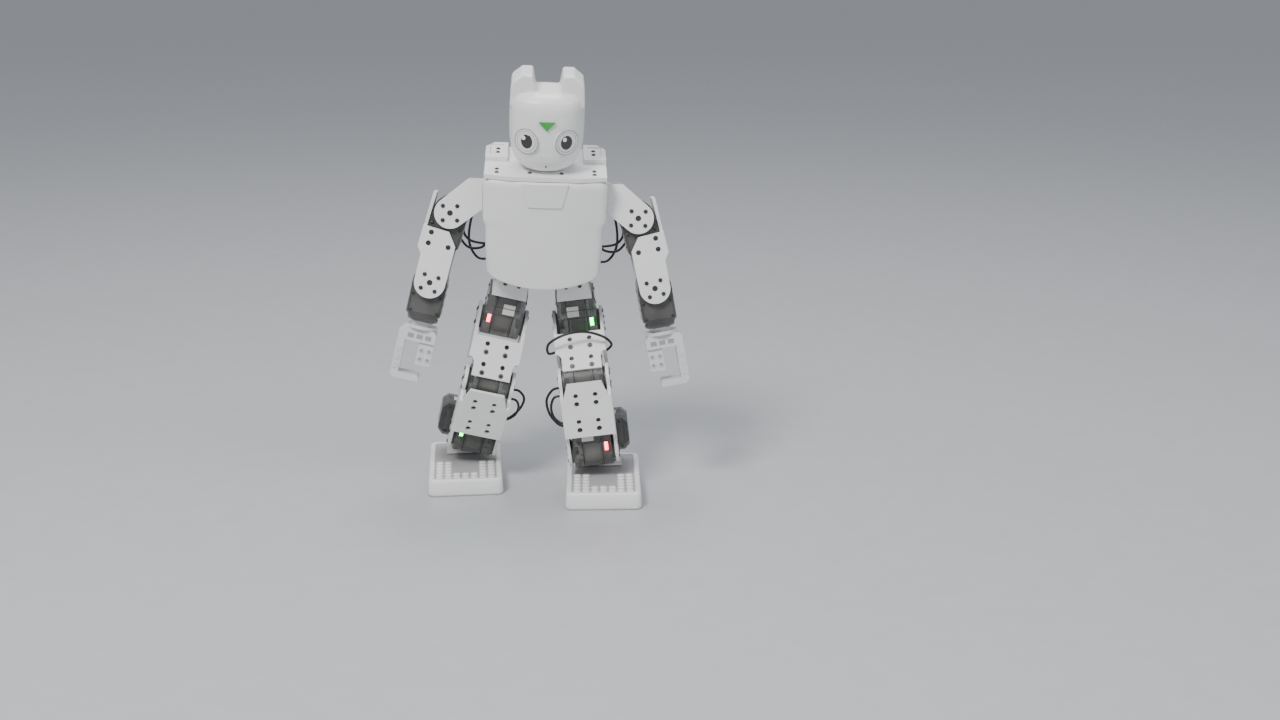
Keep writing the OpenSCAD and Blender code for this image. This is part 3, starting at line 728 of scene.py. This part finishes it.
def foot(k, s):
    """Rim, sunken tread and its studs; the tread is coloured darker than the rim as painted shade."""
    p = Piece(k + "foot_shell", k + "foot", k + "foot", s, slot="foot", stands_for=[k + "foot"])
    loops = []
    for inset, z in ((1.2, -47), (0.2, -46), (0, -44.5), (0.6, -33), (1.4, -31.5), (2.6, -31), (5.2, -31),
                     (5.8, -31.4), (6.0, -32.0)):
        loops.append([p.bm.verts.new((a, b, z)) for a, b in foot_plan(inset)])
    fs = [p.bm.faces.new(loops[0][::-1]), p.bm.faces.new(loops[-1])]
    n = len(loops[0])
    for a, b in zip(loops, loops[1:]):
        for i in range(n):
            j = (i + 1) % n
            fs.append(p.bm.faces.new((a[i], a[j], b[j], b[i])))
    p.tag(fs, FOOT)
    # painted shade: the sunken tread floor and its inner wall take the darker colour
    p.tag(fs[1:2] + fs[-n:], TREAD_PAINTED_SHADE)
    for c, r in STUDS:
        p.disc((10 + (c - 3) * 8.1, -45.5 + r * 8.3, -32.1), 3.3, 1.1, FOOT, "z", 28, 0.35)
    p.done(0, sharp=50)


def hand(k, s):
    """Hook hand, below the wrist."""
    p = Piece(k + "hand_model", k + "forearm", k + "forearm", s, slot="hand", stands_for=[k + "hand"])
    z0 = -41.5
    p.disc((0, 0, z0 - 3), 15, 3, MILKY, "z", 40)
    p.prism([(-16, z0 - 15), (-16, z0 - 6), (-13, z0 - 3), (15, z0 - 3), (18, z0 - 6), (18, z0 - 15)],
            -11, 11, MILKY)
    p.prism([(11, z0 - 51), (15, z0 - 51), (18, z0 - 48), (18, z0 - 15), (11, z0 - 15)], -11, 11, MILKY)
    p.prism([(-8, z0 - 51), (-8, z0 - 47), (-6.5, z0 - 45), (11, z0 - 45), (11, z0 - 51)], -11, 11, MILKY)
    p.prism([(-16, z0 - 34), (-14, z0 - 36), (-2, z0 - 36), (-2, z0 - 15), (-16, z0 - 15)], -9, 9, MILKY)
    for e in (-1, 1):
        for a in (-12.5, -5.5):
            for b in (-22, -30):
                p.disc((a, e * 9, z0 + b), 2.6, e * 0.5, MILKY, "y", 24, 0.3)
                p.disc((a, e * 9.5, z0 + b), 1.6, e * 0.06, GREY, "y", 24)
        for a in (-12, -4, 4):
            p.block((a, min(e * 11, e * 11.25), z0 - 12), (a + 5.5, max(e * 11, e * 11.25), z0 - 8), GREY)
        for b in (-22, -30, -38):
            p.block((12.6, min(e * 11, e * 11.3), z0 + b - 4.5), (16.4, max(e * 11, e * 11.3), z0 + b), MILKY)
    p.done(0.6)


def wrist(k, s):
    """Wrist disc with its dished ring."""
    p = Piece(k + "wrist_disc", k + "forearm", k + "forearm", s, slot="white_bracket",
              stands_for=[k + "wrist_flange"])
    p.disc((0, 0, -34.5), 14, -3, HORN, "z", 48, 0.3)
    p.disc((0, 0, -37.5), 10.5, -1.5, BRACKET, "z", 48, 0.3)
    p.disc((0, 0, -39), 9, -2.5, BRACKET, "z", 48)
    for a in range(0, 360, 60):
        p.disc((11.9 * cos(radians(a)), 11.9 * sin(radians(a)), -37.5), 1.1, -0.3, DARK, "z", 16)
    p.done(0.2)


for side, s in (("right", -1), ("left", 1)):
    k = side + "_"
    link_screws(k, s)
    foot(k, s)
    hand(k, s)
    wrist(k, s)

# ---------------------------------------------------------------- CAD pieces that stay
KEEP = {"torso_frame": BRACKET, "back_cover": WHITE, "top_deck": WHITE, "battery_pack": BLUE,
        "controller_board": BOARD, "power_button": DARK, "forehead_light": GREEN}
for name, o in frame["nodes"].items():
    m = KEEP.get(name)
    if m is None:
        m = HORN if "horn" in name else (BRACKET if name.endswith("bracket") else None)
    if m is not None:
        for slot_ in o.material_slots:
            slot_.material = m

# ---------------------------------------------------------------- floor and light
me = bpy.data.meshes.new("floor")
me.from_pydata([(-30, -6, 0), (30, -6, 0), (30, 60, 0), (-30, 60, 0)], [], [(0, 1, 2, 3)])
floor = bpy.data.objects.new("floor", me)
bpy.context.scene.collection.objects.link(floor)
me.materials.append(plastic("floor_top", (0.46, 0.47, 0.49), 0.34, 300, 0.02, 0.01, edge=0))
world = bpy.data.worlds.new("studio")
bpy.context.scene.world = world
world.use_nodes = True
world.node_tree.nodes["Background"].inputs["Color"].default_value = (0.80, 0.84, 0.90, 1)
world.node_tree.nodes["Background"].inputs["Strength"].default_value = 0.5


def area(name, loc, aim, size, power, colour=(1, 1, 1)):
    d = bpy.data.lights.new(name, "AREA")
    d.size = size
    d.energy = power
    d.color = colour
    o = bpy.data.objects.new(name, d)
    o.location = loc
    o.rotation_euler = (Vector(aim) - Vector(loc)).to_track_quat("-Z", "Y").to_euler()
    bpy.context.scene.collection.objects.link(o)


area("key", (-0.9, -1.5, 2.1), (0, 0, 0.2), 0.7, 64, (1, 0.98, 0.95))
area("fill", (1.5, -1.2, 1.5), (0, 0, 0.2), 1.4, 14, (0.95, 0.97, 1))
area("top", (0.1, 0.5, 2.3), (0, 0, 0.1), 1.2, 26)
